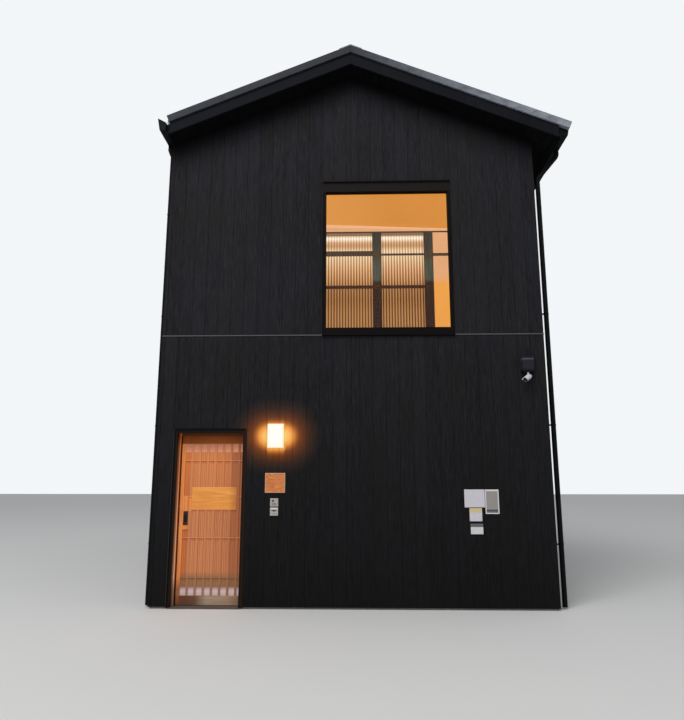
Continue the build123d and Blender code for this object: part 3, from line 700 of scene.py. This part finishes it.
deep, wide = 2 * innerY, 2 * innerX
foot, head = floorTop + planks["shape"]["proud"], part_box("upper_ceiling")[0][2]
windowIn = (innerX - windowHigh[0] - 0.001, innerX - windowLow[0] + 0.001, windowLow[2] - 0.001,
            windowHigh[2] + 0.001)
doorFrom = innerX + lining["doorSide"]   # the leaf runs behind the front wall from here on
linings = {
    "front_room": sideFaces(0, screenFront + innerY, foot, head) + [
        ("front", around(0, wide, foot, head, windowIn))],
    "rear_room": sideFaces(screenBack + innerY, deep, foot, head) + [
        ("rear", around(0, wide, foot, head, windowIn))],
    "ground_room": sideFaces(0, deep, wallFoot, underFloor) + [
        ("rear", [(0, wide, wallFoot, underFloor, underFloor)]),
        ("front", [(0, doorFrom, wallFoot, underFloor, underFloor),
                   (doorFrom, wide, lining["clearHead"], underFloor, underFloor)])],
}
litWalls = plasterFinish("lit wall plaster", {**panel, "glow": twoGlow(
    (196, 128, 58), (204, 140, 76), "z", 4.3, 5.0)})
plainWalls = plasterFinish("wall plaster", lining["plaster"])
skirts = []
for name, faces in linings.items():
    liningSheets = []
    for side, cells in faces:
        face = wallFace(side, innerX, innerY, -1)
        liningSheets.append(slabGrid(face, cells, {"edge": 0.001, "proud": lining["thick"]}))
        base = [(x0, x1, z0, z0 + lining["skirtHeight"], z0 + lining["skirtHeight"])
                for x0, x1, z0, zl, zr in cells if z0 in (foot, wallFoot)]
        skirts.append(slabGrid(face, base, {"edge": 0.003, "proud": lining["skirtThick"]}))
    addPiece(f"{name}_lining", liningSheets, litWalls if name == "front_room" else plainWalls,
             "warm_plaster", house)
addPiece("skirting_boards", skirts, woodFinish("skirting wood", lining["skirt"]), "floor_timber", house)

clear = {"index": 1.2, "gasketWidth": 0.006, "gasketDepth": 0.004,
         "gasket": {"shell": (14, 14, 15), "grimy": (34, 33, 32), "roughness": 0.6, "shine": 0.1}}
dress(["window_glass", "rear_window_glass"], Finish("clear glass").surface(
    Base_Color=(1, 1, 1, 1), Roughness=0.0, Transmission_Weight=1.0, IOR=clear["index"]))
bead = [(0, 0), (0.0005, clear["gasketDepth"]), (clear["gasketWidth"] - 0.002, clear["gasketDepth"]),
        (clear["gasketWidth"], 0.001), (clear["gasketWidth"], 0)]
pane = loopGrid(windowLow[0] + window["side"], windowHigh[0] - window["side"], windowLow[2] + window["foot"],
                underHead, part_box("window_glass")[0][1], bead)
addPiece("window_gaskets", [pane, pane * np.array([-1.0, -1.0, 1.0])],
         plasticFinish("gasket rubber", clear["gasket"]), "window_metal", house, closed="loop")
print("room done")


# Sliding door

leafLow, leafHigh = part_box("door_leaf_frame")
lightLow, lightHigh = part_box("door_lattice")
jambLow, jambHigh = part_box("door_jambs")
headShade = (34, 17, 8)
door = {
    "leaf": {"grainAxis": 2, "across": 70, "along": 2.0, "dark": (186, 104, 52), "light": (216, 136, 76),
             "worn": (204, 126, 72), "roughness": 0.5, "relief": 0.15, "shine": 0.2},
    "bars": {"grainAxis": 2, "across": 150, "along": 2, "dark": (166, 104, 68), "light": (190, 124, 84),
             "worn": (182, 118, 82), "roughness": 0.6, "relief": 0.15, "shine": 0.1, "patch": 0.15},
    "lining": {"grainAxis": 2, "across": 80, "along": 2.4, "dark": (18, 12, 10), "light": (30, 21, 16),
               "worn": (25, 18, 15), "roughness": 0.6, "shine": 0.12},
    "board": {"grainAxis": 0, "across": 46, "along": 3.4, "dark": (206, 127, 55), "light": (237, 163, 88),
              "worn": (224, 148, 75), "roughness": 0.5, "relief": 0.1, "shine": 0.15, "ringShare": 0.34,
              "rings": 21, "patch": 0.45, "patchScale": 7},
    "casing": {"paint": (14, 13, 13), "dusty": (26, 24, 23), "roughness": 0.5, "dust": 0.4, "shine": 0.04},
    "lock": {"paint": (58, 40, 28), "dusty": (40, 27, 19), "roughness": 0.35, "metallic": 0.5,
             "relief": 0.05, "dentScale": (60, 60, 60), "dust": 0.6},
    # painted shade: darker under the head and towards the foot
    "leafPaintedShade": [("z", 1.75, 2.0, 0.35, headShade), ("z", 0.35, 0.2, 0.85, (118, 72, 46)),
                 ("z", 0.1, 0.0, 0.6, (62, 44, 34))],
    "topRail": [(0.0, (134, 64, 12)), (0.5, (154, 79, 22)), (1.0, (128, 64, 20))],
    "footRail": [(0.05, (94, 52, 30)), (0.28, (112, 76, 56)), (0.44, (184, 160, 134)),
                 (0.75, (182, 152, 124)), (1.0, (112, 78, 56))],
    "slimRails": [(0.32, 0.0), (0.777, 0.7), (1.255, 0.5), (1.69, 0.7)],   # middle, share of light caught
    # painted shade towards the right of the lattice and reeds
    "fieldSideShade": [("x", -1.75, -1.3, 0.5, (146, 86, 58)), ("x", -1.49, -1.46, 0.3, (112, 62, 38))],
    # greyer towards the foot, and painted shade under the head
    "fieldEnds": [("z", 0.40, 0.325, 0.66, (122, 95, 70)), ("z", 1.78, 2.0, 0.35, headShade)],
    "paleUp": (1.1, 1.7), "paleLeft": (-1.4, -1.56), "inShade": (1.93, 2.02),
    "boardShade": ("x", -1.5, -1.4, 0.6, (138, 82, 44)),
    "firstGap": 0.0715, "barWidth": 0.025, "overLock": (1.095, 1.275), "warmEdge": 0.047,
    "warmth": {"stile": 0.5, "rails": 0.22, "field": 0.38, "board": 0.24},
}
stop = {"face": leafLow[1] - 0.032, "edge": jambLow[0] + 0.024, "head": (1.99, 2.027), "wood": (128, 70, 32),
        "gap": ((60, 28, 14), (124, 50, 12)),
        "lit": [(0.0, (104, 72, 54)), (0.1, (142, 102, 76)), (0.17, (206, 152, 117)),
                (0.45, (206, 144, 104)), (0.92, (182, 104, 55)), (1.0, (104, 53, 27))]}
gapEnd = lightLow[0] + door["firstGap"]


def levelRails(finish):
    # 1 on the leaf's rails under and over the lattice, where the grain runs level
    under = finish.z.ramp(lightLow[2] + 0.0005, lightLow[2] - 0.0005)
    over = finish.z.ramp(lightHigh[2] - 0.0005, lightHigh[2] + 0.0005)
    return (under + over) * finish.x.band(lightLow[0], lightHigh[0])


def railShades(finish, colour):
    # painted shade makes the top rail browner under the header, and the foot rail is grey in the middle and
    # darker towards its ends
    x, z = finish.x, finish.z
    across = x.ramp(leafLow[0], leafHigh[0])
    rail = finish.laid(z.ramp(*door["inShade"]) * 0.45, finish.stops(across, door["topRail"]), headShade)
    colour = finish.mixed(z.ramp(lightHigh[2] - 0.001, lightHigh[2] + 0.001), colour, rail)
    grain = finish.noise((3, 3, 60), 4, 0.6).ramp(0.4, 0.62)
    foot = finish.laid(grain * 0.3, finish.stops(across, door["footRail"]), (96, 70, 52))
    inFoot = z.ramp(lightLow[2] + 0.0005, lightLow[2] - 0.0005) * x.ramp(lightLow[0] - 0.001, lightLow[0])
    return finish.mixed(inFoot * 0.9, colour, foot)


def fieldGlints(finish, colour):
    # lattice and reeds are warmer in the first gap, lighter above its far side and on the bar over the lock
    x, z = finish.x, finish.z
    colour = finish.laid(x.band(lightLow[0], gapEnd, 0.001) * 0.55, colour, (176, 92, 44))
    colour = finish.laid(z.ramp(*door["paleUp"]) * x.ramp(*door["paleLeft"]) * 0.35, colour, (216, 134, 74))
    firstBar = x.band(gapEnd, gapEnd + door["barWidth"]) * z.band(*door["overLock"], 0.001)
    return finish.laid(firstBar * 0.8, colour, (222, 134, 66))


def railLines(finish, colour):
    # each slim rail catches light along its top and reads as a dark line below
    z = finish.z
    for middle, caught in door["slimRails"]:
        colour = finish.laid(z.band(middle + 0.001, middle + 0.0062) * caught, colour, (222, 148, 100))
        colour = finish.laid(z.band(middle - 0.0062, middle + 0.0005) * 0.75, colour, (96, 54, 34))
    return colour


def ownWarmth(share):
    # the lamp beside the door and the room behind it warm the wood: a share of its own colour
    return lambda finish, colour, blend: finish.dimmed(1 - share, colour)


def leafWarmth(finish, colour, blend):
    # a larger share on the outer stile than on the rails, and half as much over and under the lattice
    edge, warmth = lightLow[0] + door["warmEdge"], door["warmth"]
    stile = finish.x.ramp(edge + 0.001, edge - 0.001)
    share = stile * (warmth["stile"] - warmth["rails"]) + warmth["rails"]
    middle = finish.z.band(lightLow[2], lightHigh[2])
    return finish.dimmed(1 - share * (middle * 0.5 + 0.5), colour)


def stopShades(finish, colour):
    # the stop under the head is the same brown wood as the leaf, the rest is stained black-brown
    forward = finish.y.ramp(stop["face"] - 0.002, stop["face"] + 0.001)
    return finish.laid(finish.z.band(*stop["head"]) * forward, colour, stop["wood"])


def stopGlow(finish, colour, blend):
    # light from inside on the stop's front face and, thinly, on its side and the right lining's edge
    x, y, z = finish.x, finish.y, finish.z
    edge, face, lipEnd = stop["edge"], stop["face"], jambHigh[0] - 0.0232
    front = y.band(face - 0.003, face + 0.003, 0.001)
    strip = x.band(edge + 0.004, edge + 0.016) * front
    thin = x.band(lipEnd - 0.0013, lipEnd, 0.0004) * 0.5
    side = x.band(edge - 0.0015, edge + 0.0015) * y.ramp(face - 0.065, face - 0.005) * 0.4
    gap = finish.tinted(z.ramp(0.2, 0.36), *stop["gap"])
    rest = finish.dimmed(1 - x.band(edge + 0.016, edge + 0.026) * front, gap)
    return finish.mixed(strip.above(thin).above(side), rest, finish.stops(z.ramp(0.0, 2.0), stop["lit"]))


field = [washes(*door["fieldSideShade"]), fieldGlints, washes(*door["fieldEnds"])]
fieldWarmth = ownWarmth(door["warmth"]["field"])
dress(["door_leaf_frame"], woodFinish("leaf wood", door["leaf"], turned=levelRails, glow=leafWarmth,
                                      layers=[washes(*door["leafPaintedShade"]), railShades]))
dress(["door_lattice"], woodFinish("lattice wood", door["bars"], glow=fieldWarmth,
                                   layers=[*field, railLines]))
dress(["door_jambs", "door_head"], woodFinish("lining wood", door["lining"], glow=stopGlow,
                                              layers=[stopShades]))
# painted highlight along the casing's left edge and painted lamp light along its right edge
dress(["door_casing"], metalFinish("casing paint", door["casing"], layers=[washes(
    ("x", casingLow[0] + 0.009, casingLow[0] + 0.005, 1, (54, 52, 54)),
    ("x", casingHigh[0] - 0.024, casingHigh[0] - 0.02, 0.8, (52, 33, 24)))]))
dress(["door_name_board"], woodFinish("bare board wood", door["board"],
                                      glow=ownWarmth(door["warmth"]["board"]),
                                      layers=[washes(door["boardShade"])]))
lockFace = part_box("door_lock")[0][1]
# painted shade in the pull's recess
dress(["door_lock"], metalFinish("lock metal", door["lock"], layers=[washes(
    ("y", lockFace + 0.002, lockFace + 0.005, 1, (5, 4, 4)))]))

reeds = {"across": 0.007, "relief": 0.0022, "seed": 3, "rows": 4, "group": (0.1, 0.75, 0.95), "stray": 0.3,
         "stain": {"grainAxis": 2, "across": 75, "along": 0.8, "dark": (150, 90, 56), "light": (200, 134, 92),
                   "worn": (182, 116, 78), "roughness": 0.65, "toned": True, "toneSpread": 1.75,
                   "patch": 0.15, "shine": 0.06}}
blindLow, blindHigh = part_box("door_blind")


def reedGrid():
    # upright half-rounds side by side: x = middle + half width * sin, y = face - relief * cos of the angle
    rng = np.random.default_rng(reeds["seed"])
    count = int((blindHigh[0] - blindLow[0]) // reeds["across"])
    width = (blindHigh[0] - blindLow[0]) / count
    angle = np.linspace(-math.pi / 2, math.pi / 2, 7)[None, None, :]
    heights = np.linspace(blindLow[2], blindHigh[2], reeds["rows"])[None, :, None]
    middle = (blindLow[0] + width * (np.arange(count) + 0.5))[:, None, None]
    x = middle + width * 0.49 * np.sin(angle) + 0 * heights
    y = blindHigh[1] - 0.0004 - reeds["relief"] * np.cos(angle) + 0 * x
    tones = np.resize(reeds["group"], count) + (rng.random(count) - 0.5) * reeds["stray"]
    return np.stack([x, y, heights + 0 * x], -1), tones


grid, tones = reedGrid()
addPiece("door_reeds", [grid], woodFinish("reeds", reeds["stain"], layers=field, glow=fieldWarmth),
         "reed_blind", entryDoor, tones=[tones], replaced=["door_blind"])

frost = {"ladder": [(0.0, (176, 158, 154)), (0.15, (184, 164, 164)), (0.28, (193, 170, 176)),
                    (0.5, (142, 112, 102)), (1.0, (184, 122, 96))], "span": (0.12, 0.32),
         "upper": (208, 138, 108), "upperBand": (1.78, 1.83)}
frosted = Finish("frosted glass")
mist = frosted.noise(420, 3, 0.6)
tint = frosted.stops(frosted.z.ramp(*frost["span"]), frost["ladder"])
tint = frosted.laid(frosted.z.band(*frost["upperBand"], 0.03), tint, frost["upper"])
# painted light: the frosted squares glow with about a third of their tint, as if lit from the room behind
dress(["door_glass"], frosted.surface(
    Base_Color=tint, Roughness=0.5 + mist * 0.2, Emission_Color=frosted.dimmed(0.66, tint),
    Emission_Strength=1.0, Normal=frosted.bump(mist, 0.2, 0.0004)))
print("door done")


# Fittings on the street front

shade = Finish("opal shade")
fromSide = lampHalf[0] - (shade.x - lampMid[0]).size()
fromEnd = lampHalf[2] - (shade.z - lampMid[2]).size()
rim = fromSide.below(fromEnd).ramp(lamp["edgeWidth"], lamp["edgeWidth"] * 0.4)
pearl = shade.noise(60, 3, 0.5)
dress(["lamp_shade"], shade.surface(
    Base_Color=shade.tinted(pearl, (66, 64, 60), (76, 73, 68)), Roughness=0.3 + pearl * 0.1,
    Emission_Color=shade.tinted(rim, lamp["shade"], lamp["edge"]), Emission_Strength=1.0))
dress(["lamp_base"], metalFinish("lamp plate", windowPaint))

plaque = {"grainAxis": 0, "across": 150, "along": 22, "dark": (196, 108, 56), "light": (242, 158, 102),
          "worn": (218, 132, 80), "roughness": 0.6, "relief": 0.2, "shine": 0.06, "rim": 0.009}
plaqueLow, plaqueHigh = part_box("sign_plaque")


def paleEdge(finish, colour):
    # a pale colour outside a rectangle that is set in from the plaque's edges
    rim = plaque["rim"]
    inner = finish.patch(plaqueLow[0] + rim, plaqueHigh[0] - rim, plaqueLow[2] + rim, plaqueHigh[2] - rim,
                         0.001)
    return finish.laid(1 - inner, colour, (212, 166, 136))


dress(["sign_plaque"], woodFinish("plaque wood", plaque, layers=[paleEdge]))

callLow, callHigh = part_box("intercom")
calls = {"shell": (182, 174, 168), "grimy": (138, 130, 122), "roughness": 0.5, "grime": 0.4, "shine": 0.15,
         "split": 0.01, "lens": (0.035, 0.028), "button": (0.048, 0.035), "slots": 5, "slotPitch": 0.006,
         "slot": (0.02, 0.076, 0.014, 0.0025),   # left, right, foot of the lowest, height
         "lensRim": [(0.012, 0), (0.012, 0.0025), (0.010, 0.0025), (0.009, 0.0012), (0.005, 0.0022),
                     (0.001, 0.0026)],
         "buttonRim": [(0.009, 0), (0.009, 0.003), (0.0075, 0.0042), (0.001, 0.0048)]}
callLeft, callFace, lowerUnit = callLow
unitHeight = (callHigh[2] - callLow[2] - calls["split"]) / 2
upperUnit, lowerTop = callHigh[2] - unitHeight, lowerUnit + unitHeight
street = (0, -1, 0)   # the way that faces the street


def callMarks(finish, colour):
    # a lighter bar across the head of the lower unit, and a dark recess with a stem under it
    bar, recess, stem = (finish.patch(callLeft + inset, callHigh[0] - inset, foot, head)
                         for inset, foot, head in ((0.006, lowerTop - 0.02, lowerTop - 0.006),
                                                   (0.018, lowerTop - 0.042, lowerTop - 0.028),
                                                   (0.04, lowerUnit + 0.02, lowerTop - 0.03)))
    colour = finish.laid(bar * 0.9, colour, (240, 228, 220))
    return finish.laid(recess.above(stem) * 0.85, colour, (34, 32, 31))


dress(["intercom"], plasticFinish("call units", calls, layers=[callMarks]))
darkParts = plasticFinish("dark insets", {"shell": (12, 12, 14), "grimy": (40, 40, 42), "roughness": 0.2,
                                          "shine": 0.5})
paleParts = plasticFinish("pale buttons", {"shell": (206, 200, 192), "grimy": (150, 146, 140),
                                           "roughness": 0.4, "shine": 0.3})
lensAt = (callLeft + calls["lens"][0], callFace + 0.001, callHigh[2] - calls["lens"][1])
buttonAt = (callLeft + calls["button"][0], callFace + 0.001, lowerUnit + calls["button"][1])
left, right, lowest, tall = calls["slot"]
slotCells = [(left, right, z, z + tall, z + tall)
             for z in upperUnit + lowest + np.arange(calls["slots"]) * calls["slotPitch"]]
slotWall = {"corner": (callLeft, callFace + 0.0008, 0), "right": (1, 0, 0), "outward": street}
addPiece("call_lens", [turnedGrid([lensAt], street, calls["lensRim"])], darkParts, "call_plastic", house,
         closed="ends")
addPiece("call_slots", [slabGrid(slotWall, slotCells, {"edge": 0.0004, "proud": 0.0012})], darkParts,
         "call_plastic", house)
addPiece("call_button", [turnedGrid([buttonAt], street, calls["buttonRim"])], paleParts, "call_plastic",
         house, closed="ends")

camera = {"middle": (2.139, -4.672, 2.684), "way": (-0.562, -0.720, -0.407), "faceAt": 0.0915,
          "rim": [(0.0285, 0), (0.0285, 0.0022), (0.026, 0.0022), (0.024, 0.0008), (0.016, 0.0014),
                  (0.012, 0.0042), (0.006, 0.0058), (0.001, 0.0062)],
          "head": {"shell": (222, 220, 226), "grimy": (172, 170, 174), "roughness": 0.4, "grime": 0.25},
          "box": {"shell": (41, 40, 47), "grimy": (62, 61, 66), "roughness": 0.55, "shine": 0.06}}
boxLow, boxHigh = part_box("camera_box")


def lidAndFoot(finish, colour):
    # the lid's rounded edge catches light, and the foot lies in its own shade
    z = finish.z
    lid = z.band(boxHigh[2] - 0.035, boxHigh[2] - 0.02, 0.004)
    colour = finish.laid(lid * 0.5, colour, (112, 110, 118))
    return finish.laid(z.ramp(boxLow[2] + 0.05, boxLow[2] + 0.02) * 0.8, colour, (8, 8, 12))


dress(["camera_head"], plasticFinish("camera shell", camera["head"]))
dress(["camera_box"], plasticFinish("camera box", camera["box"], layers=[lidAndFoot]))
way = np.array(camera["way"]) / np.linalg.norm(camera["way"])
lensFace = np.array(camera["middle"]) + way * camera["faceAt"]
addPiece("camera_lens", [turnedGrid([lensFace], way, camera["rim"], 28)], darkParts, "camera_plastic", house,
         closed="ends")

plates = {"shell": (214, 209, 216), "grimy": (188, 183, 187), "roughness": 0.45, "grime": 0.35, "shine": 0.2,
          "screwInset": 0.012, "screw": [(0.0035, 0), (0.0033, 0.001), (0.002, 0.0016), (0.0006, 0.0018)],
          "screwMetal": {"paint": (150, 150, 150), "dusty": (110, 108, 104), "roughness": 0.35,
                         "metallic": 0.9},
          "corners": [(1.324, 1.562, 1.146, 1.352), (1.567, 1.727, 1.072, 1.352),
                      (1.378, 1.524, 0.988, 1.138), (1.386, 1.530, 0.842, 0.960)]}


def plateBands(finish, colour):
    # plain fields only: a muted one with a pale margin, a pale yellow band and two dark bands
    second, third, fourth = plates["corners"][1:]
    left, right, foot, head = second[0] + 0.012, second[1] - 0.012, second[2], second[3]
    for field, share, tint in ((second, 1, (222, 220, 224)),
                               ((left, right, foot + 0.03, head - 0.02), 0.85, (140, 132, 124)),
                               ((left, right, foot + 0.012, foot + 0.05), 0.85, (66, 64, 66)),
                               ((*third[:2], third[3] - 0.05, third[3]), 0.75, (222, 196, 118)),
                               (fourth, 1, (218, 216, 220)),
                               ((*fourth[:2], fourth[3] - 0.038, fourth[3]), 0.85, (52, 50, 54))):
        colour = finish.laid(finish.patch(*field) * share, colour, tint)
    return colour


dress(["notice_plates"], plasticFinish("bare plates", plates, layers=[plateBands]))
inset, plateFace = plates["screwInset"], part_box("notice_plates")[0][1]
screwsAt = [(x, plateFace + 0.0003, z) for left, right, foot, head in plates["corners"]
            for x in (left + inset, right - inset) for z in (foot + inset, head - inset)]
addPiece("plate_screws", [turnedGrid(screwsAt, street, plates["screw"], 10)],
         metalFinish("screw metal", plates["screwMetal"]), "notice_enamel", house, closed="ends")
print("fittings done")


# Floor, light and camera

studio = {"floor": ((223, 222, 220), (226, 225, 223)), "backdrop": (0.90, 0.92, 0.94, 1),
          "skyTint": (0.93, 0.96, 1.0, 1), "skyLight": 0.4, "span": 60.0}
keyLight = {"place": (-5.0, -17.0, 18.4), "aim": (0, -4.6, 3.5), "side": 12.0, "watts": 2650}
view = {"place": (0.0860, -12.1293, 1.4485), "pitch": 0.193084, "yaw": 0.0272556, "focalPixels": 619.58,
        "framePixels": 720, "sensor": 36.0}
scene = bpy.context.scene
paint = Finish("studio floor")
span = studio["span"]
floorMesh = bpy.data.meshes.new("studio_floor")
floorMesh.from_pydata([(-span, -span, 0), (span, -span, 0), (span, span, 0), (-span, span, 0)], [],
                      [(0, 1, 2, 3)])
floorMesh.materials.append(paint.surface(
    Base_Color=paint.tinted(paint.noise(0.6, 3, 0.5), *studio["floor"]), Roughness=0.9))
placed("studio_floor", floorMesh)

# the backdrop is seen by the camera and in gloss and glass, and the sky light reaches everything else
sky = Finish("studio light", "worlds")
scene.world = sky.owner
eyes, gloss, through = (sky.node("ShaderNodeLightPath", out=f"Is {kind} Ray")
                        for kind in ("Camera", "Glossy", "Transmission"))
skyLight = sky.node("ShaderNodeBackground", None, {0: studio["skyTint"], 1: studio["skyLight"]})
backdrop = sky.node("ShaderNodeBackground", None, {0: studio["backdrop"], 1: 1.0})
seen = eyes.above(gloss).above(through)
either = sky.node("ShaderNodeMixShader", None, {0: seen, 1: skyLight, 2: backdrop})
sky.node("ShaderNodeOutputWorld", None, {0: either})

keyData = bpy.data.lights.new("key light", "AREA")
keyData.energy, keyData.size = keyLight["watts"], keyLight["side"]
away = np.array(keyLight["place"]) - np.array(keyLight["aim"])
placed("key light", keyData, keyLight["place"], (
    math.atan2(math.hypot(away[0], away[1]), away[2]), 0, math.atan2(away[0], -away[1])))

eyeData = bpy.data.cameras.new("street view")
eyeData.sensor_width = view["sensor"]
eyeData.lens = view["focalPixels"] / view["framePixels"] * view["sensor"]
scene.camera = placed("street view", eyeData, view["place"], (math.pi / 2 + view["pitch"], 0, view["yaw"]))
scene.view_settings.view_transform = "Standard"
print("stage done")

bpy.context.view_layer.update()
